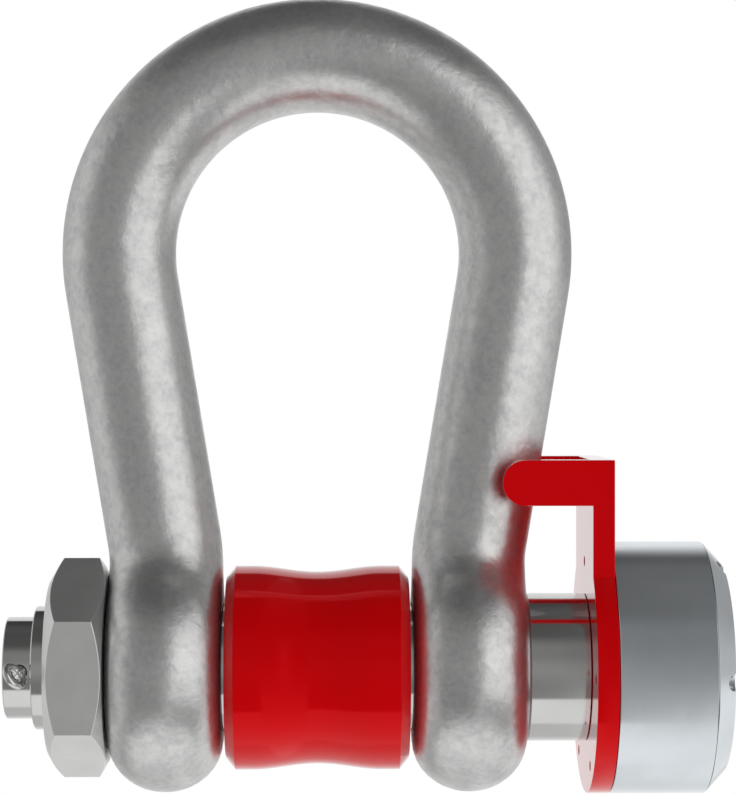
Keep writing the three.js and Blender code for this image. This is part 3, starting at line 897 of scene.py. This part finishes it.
def out_of_face(radius, chamfer=0.4):
    """Last corners of a cutter that leaves the cover's face through a 45 degree chamfer."""
    face = COVER_END - chamfer
    return [(face, radius), (BEYOND_FACE, radius + BEYOND_FACE - face), (BEYOND_FACE, 0)]


def window_cutter():
    seat = COVER_END - WINDOW["depth"]
    return lathe([
        (BEHIND_WEB, 0),
        (BEHIND_WEB, WINDOW["ledge"]),
        (seat, WINDOW["ledge"], 0.2),
        (seat, WINDOW["seat"], 0.3),
        *out_of_face(WINDOW["seat"]),
    ], 96)


def button_cutter():
    return lathe([
        (BEHIND_WEB, 0),
        (BEHIND_WEB, BUTTON["stem"]),
        (BUTTON["groove_start"], BUTTON["stem"]),
        (BUTTON["groove_start"], BUTTON["groove"]),
        (BUTTON["floor"], BUTTON["groove"]),
        (BUTTON["floor"], BUTTON["well"], 0.3),
        *out_of_face(BUTTON["well"]),
    ], 64, (0, BUTTON["z"]))


def lens_cutter():
    lens = spot("status_lens")
    profile = [(BEHIND_WEB, 0), (BEHIND_WEB, LENS_HOLE), *out_of_face(LENS_HOLE, 0.3)]
    return lathe(profile, 32, (lens.y, lens.z))


def end_cover():
    tools = [*map(cover_bolt_hole, BOLT_ANGLES), window_cutter(), button_cutter(), lens_cutter()]
    piece("cover_disc", carve(cover_blank(), *tools), "end_cover")


def cover_bolts():
    shank, head, key, key_depth = 3, 4.95, 2.3, 2.2
    seat = COUNTERBORE["floor"] + GAP
    top = seat + 4
    for i, angle in enumerate(BOLT_ANGLES):
        place = on_circle(BOLT_CIRCLE, angle)
        blank = lathe([
            (BOLT_TIP, 0),
            (BOLT_TIP, shank - 0.7),
            (BOLT_TIP + 0.7, shank, 0.1),
            (seat, shank, 0.3),
            (seat, head, 0.2),
            (top, head, 0.5),
            (top, 0),
        ], 48, place)
        socket = prism(regular(key, place, 6), top - key_depth, top + 1)
        piece(f"socket_bolt_{i + 1}", carve(blank, socket), f"cover_bolt_{i + 1}", sharp=40)


def set_screws():
    radius, tip, key, key_depth = 2.95, 1.8, 1.8, 3
    for i, angle in enumerate(SET_SCREW_ANGLES):
        place = on_circle(BOLT_CIRCLE, angle)
        low, high = extent(f"set_screw_{i + 1}")
        blank = lathe([
            (low.x, 0),
            (low.x, radius, 0.5),
            (high.x - 1, radius),
            (high.x, tip, 0.2),
            (high.x, 0),
        ], 36, place)
        socket = prism(regular(key, place, 6), low.x - 1, low.x + key_depth)
        piece(f"grub_screw_{i + 1}", carve(blank, socket), f"set_screw_{i + 1}", sharp=40)


# ---------------------------------------------------------------- electronics and seals
def battery_cells():
    """Cells with crimped ends and a nub; neighbours point opposite ways."""
    for i in range(4):
        node = f"battery_cell_{i + 1}"
        low, high = extent(node)
        centre = spot(node)
        radius = (high.x - low.x) / 2
        length = high.z - low.z
        collar, nub = length - 1.2, 2.7
        cell = lathe([
            (0, 0),
            (0, radius - 2.2, 0.3),
            (0.5, radius - 1.2, 0.3),
            (0.5, radius, 0.6),
            (length - 1.6, radius, 0.6),
            (collar, radius - 1.4, 0.3),
            (collar, nub, 0.3),
            (length, nub, 0.4),
            (length, 0),
        ], 64)
        up = i % 2 == 1
        turn_to(cell, -90 if up else 90, "Y")
        shift(cell, (centre.x, centre.y, low.z if up else high.z))
        piece(f"cell_{i + 1}", cell, node)


def board_parts():
    """Blocks for the components on the face of the circuit board."""
    face, height, sunk = BOARD_HIGH.x, 1.3, 0.1
    chips = [
        (-14, 22, 7, 7), (12, 24, 5, 5), (-34, 10, 4, 6),
        (30, -16, 6, 4), (-22, -30, 5, 5), (24, -34, 4, 4),
    ]
    shells = []
    for y, z, half_width, half_height in chips:
        across = (y - half_width, y + half_width)
        upward = (z - half_height, z + half_height)
        shells.append(eased(block((face - sunk, face + height), across, upward), 0.25))
    piece("board_chips", merge(*shells), "circuit_board", slot="black_plastic")


def circuit_board():
    back, face, radius = BOARD_LOW.x, BOARD_HIGH.x, BOARD_HIGH.z
    hole = BOARD_HOLES["radius"]
    board = lathe([(back, 0), (back, radius, 0.2), (face, radius, 0.2), (face, 0)])
    holes = []
    for angle in BOARD_HOLES["angles"]:
        profile = [(back - 1, 0), (back - 1, hole), (face + 1, hole), (face + 1, 0)]
        holes.append(lathe(profile, 24, on_circle(BOARD_HOLES["circle"], angle)))
    piece("board_disc", carve(board, *holes), "circuit_board")


def small_screws():
    """Pan-head screws with a cross recess, which hold the circuit board."""
    head, shank = 2.7, 1.3
    cross, half_slot = 1.5, 0.3
    for i in range(3):
        low, high = extent(f"board_screw_{i + 1}")
        centre = spot(f"board_screw_{i + 1}")
        y, z = centre.y, centre.z
        screw = lathe([
            (low.x, 0),
            (low.x, shank),
            (high.x - 2.4, shank + 0.15),
            (high.x - 2.4, head, 0.2),
            (high.x - 0.9, head, 0.7),
            (high.x, 1.5, 0.4),
            (high.x, 0),
        ], 40, (y, z))
        for half_y, half_z in ((cross, half_slot), (half_slot, cross)):
            depth = (high.x - 1.1, high.x + 1)
            screw = carve(screw, block(depth, (y - half_y, y + half_y), (z - half_z, z + half_z)))
        piece(f"pan_screw_{i + 1}", screw, f"board_screw_{i + 1}", sharp=40)


def bevelled_nodes():
    """The block-shaped CAD pieces keep their meshes and get their edges eased by a modifier."""
    widths = {
        "battery_holder": 0.35, "terminal_block": 0.4, "switch_block": 0.5, "radio_module": 0.35,
        "antenna": 0.15, "ring_nut": 0.5, "standoff_1": 0.25, "standoff_2": 0.25, "standoff_3": 0.25,
    }
    for node, width in widths.items():
        bevel = frame["nodes"][node].modifiers.new("eased", "BEVEL")
        bevel.width = width * MM
        bevel.segments = 2
        bevel.limit_method = "ANGLE"
        bevel.angle_limit = math.radians(50)


def radio_window():
    """Plastic disc with a raised rim."""
    low, high = extent("antenna_window")
    face = high.x - 0.5
    window = lathe([
        (low.x, 0),
        (low.x, high.z, 0.4),
        (high.x, high.z, 0.8),
        (high.x, high.z - 3.2, 0.3),
        (face, high.z - 3.8, 0.3),
        (face, 0),
    ], 128)
    piece("radio_window", window, "antenna_window")


def button_cap():
    """Dished cap on a stem."""
    low, high = extent("power_button")
    stem = 3
    cap = lathe([
        (low.x, 0),
        (low.x, stem, 0.4),
        (BUTTON["cap_start"], stem, 0.2),
        (BUTTON["cap_start"], BUTTON["cap"], 0.3),
        (high.x, BUTTON["cap"], 1.0),
        (high.x, 5.4, 0.4),
        (high.x - 0.7, 4.6, 0.4),
        (high.x - 0.5, 0),
    ], 72, (0, BUTTON["z"]))
    piece("button_cap", cap, "power_button")


def lens_rod():
    low, high = extent("status_lens")
    centre = spot("status_lens")
    lens = lathe([
        (low.x, 0),
        (low.x, 2.5, 0.2),
        (high.x - 0.7, 2.5, 0.4),
        (high.x, 1.2, 0.6),
        (high.x, 0),
    ], 40, (centre.y, centre.z))
    piece("lens_rod", lens, "status_lens")


def seal_rings():
    """O-rings of round section."""
    for node in ("spigot_seal", "cover_seal", "button_seal"):
        low, high = extent(node)
        centre = spot(node)
        section = (high.x - low.x) / 2
        ring_radius = (high.y - low.y) / 2 - section
        circle = regular(section, (centre.x, ring_radius), 16)
        piece(f"{node}_ring", lathe(circle, 120, (centre.y, centre.z)), node, sharp=60)


bow()
load_pin()
hex_nut()
bobbin()
split_pin()
bracket()
drum_body()
end_cover()
cover_bolts()
set_screws()
battery_cells()
circuit_board()
board_parts()
small_screws()
bevelled_nodes()
radio_window()
button_cap()
lens_rod()
seal_rings()

# CAD pieces that keep their own meshes get the same looks
for node_name, node_object in frame["nodes"].items():
    node_object.data.materials.clear()
    node_object.data.materials.append(MATERIALS[SLOTS[node_name]])


# ---------------------------------------------------------------- studio
def sky(n):
    """A direction's x part, and its height and its bearing from the front to the right in degrees."""
    way = n.add("TexCoord", output="Generated")
    x = n.add("SeparateXYZ", {0: way}, output="X")
    y = n.add("SeparateXYZ", {0: way}, output="Y")
    z = n.add("SeparateXYZ", {0: way}, output="Z")
    degrees = 180 / math.pi
    rise = n.math("MULTIPLY", n.math("ARCSINE", z), degrees)
    forward = n.math("MULTIPLY", y, -1.0)
    bearing = n.math("MULTIPLY", n.math("ARCTAN2", x, forward), degrees)
    return x, rise, bearing


def front_room(n, rise):
    """Dim room, brightest at eye level, under a dark ceiling."""
    level = n.math("SUBTRACT", n.step(rise, -28, 3, 0.23, 0.335), n.step(rise, 6, 24, 0.0, 0.07))
    return n.blend(n.step(rise, 35, 58), level, n.step(rise, 58, 90, 0.10, 0.09))


def studio_room(n, x, rise, bearing, aside, wall):
    """Brightness of the room by direction, from dim in front to white behind."""
    room = n.blend(n.step(aside, 90, 105), front_room(n, rise), n.step(rise, 20, 60, 0.36, 0.10))
    # left: a narrow pale panel
    panel_across = n.math("MULTIPLY", n.step(aside, 58, 88), n.step(bearing, 0, -1))
    panel = n.math("MULTIPLY", n.window(rise, -40, -26, 26, 40), panel_across)
    room = n.blend(panel, room, n.step(aside, 100, 145, 0.70, 0.55))
    # behind: the white wall up to 41 degrees, dark above it
    back = n.blend(n.step(rise, 38, 43), wall, n.step(rise, 44, 78, 0.05, 0.09))
    room = n.blend(n.step(aside, 148, 170), room, back)
    # right: a softbox, and a pale reflector low down and further back
    softbox = n.math("MULTIPLY", n.window(bearing, 8, 20, 66, 118), n.window(rise, -30, -14, 34, 50))
    room = n.blend(softbox, room, 1.05)
    reflector_across = n.math("MULTIPLY", n.step(x, 0.25, 0.45), n.step(bearing, 84, 96))
    reflector = n.math("MULTIPLY", reflector_across, n.step(rise, -3, -12))
    room = n.blend(reflector, room, 0.84)
    # below: the pale table, with a sharp edge 45 degrees down
    return n.blend(n.step(rise, -47, -43, 1.0, 0.0), room, n.step(aside, 100, 140, 0.92, 0.64))


def drum_room(n, rise, aside, wall):
    """The same room with blurred edges, for the strip of directions that the drum mirrors."""
    front = n.blend(n.step(rise, 35, 58), n.step(rise, 0, 32, 0.252, 0.20), 0.168)
    back = n.blend(n.step(rise, 22, 58), wall, n.step(rise, 50, 75, 0.095, 0.16))
    room = n.blend(n.step(aside, 85, 95), front, back)
    return n.blend(n.step(rise, -78, 14, 1.0, 0.0), room, 0.86)


def studio_world():
    """Soft light from all round, as a brightness for each direction. Seen directly it is white."""
    world = bpy.data.worlds.new("studio")
    SCENE.world = world
    world.use_nodes = True
    n = Nodes(world.node_tree)
    x, rise, bearing = sky(n)
    aside = n.math("ABSOLUTE", bearing)
    wall = n.step(rise, -60, -20, 0.58, 0.88)
    room = studio_room(n, x, rise, bearing, aside, wall)
    strip = n.window(x, 0.1, 0.115, 0.24, 0.3)
    room = n.blend(strip, room, drum_room(n, rise, aside, wall))
    seen = n.add("LightPath", output="Is Camera Ray")
    background = n.add("Background", {"Color": n.blend(seen, room, 1.0), "Strength": 1.0})
    to_output(n, background, "World")


def floor_with_painted_shadow():
    """Emission, a little darker right below the shackle: a painted shadow, as the emitting floor
    catches no real one.
    """
    material, nodes, where = shader("pale_floor")
    # painted shadow: the emission dims towards the spot right below the shackle
    reach = nodes.add("VectorMath", {0: where}, operation="LENGTH", output="Value")
    level = nodes.step(reach, 0.1, 1.3, 0.86, 1.0)
    to_output(nodes, nodes.add("Emission", {"Color": level, "Strength": 1.0}))
    return material


def floor():
    """Pale floor below the hanging shackle, turning into the white background further out."""
    drop = 0.3
    bm = bmesh.new()
    rings = [[bm.verts.new((0, 0, 0))]]
    for reach in (0.25, 0.6, 1.2, 2.4, 6.0):
        rings.append([bm.verts.new((x, y, 0)) for x, y in regular(reach, (0, 0), 64)])
    for first, second in zip(rings, rings[1:]):
        bridge(bm, first, second)
    obj = to_object(bm, "studio_floor")
    obj.location = (0, 0, cad_box[0].z - drop)
    obj.data.materials.append(floor_with_painted_shadow())
    obj.visible_diffuse = False
    obj.visible_glossy = False
    obj.visible_transmission = False
    obj.visible_shadow = False


def camera():
    """Long lens, nearly square to the bow and half way up it."""
    data = bpy.data.cameras.new("camera")
    data.sensor_fit = "HORIZONTAL"
    data.sensor_width = 36
    data.lens = 119.8
    obj = bpy.data.objects.new("camera", data)
    SCENE.collection.objects.link(obj)
    eye = Vector((5.0, -1650, 188.75))
    target = Vector((34.0, 0, 181.95))
    obj.location = TO_ROW @ eye
    obj.rotation_euler = (target - eye).to_track_quat("-Z", "Y").to_euler()
    SCENE.camera = obj


studio_world()
floor()
camera()
SCENE.view_settings.view_transform = "Standard"
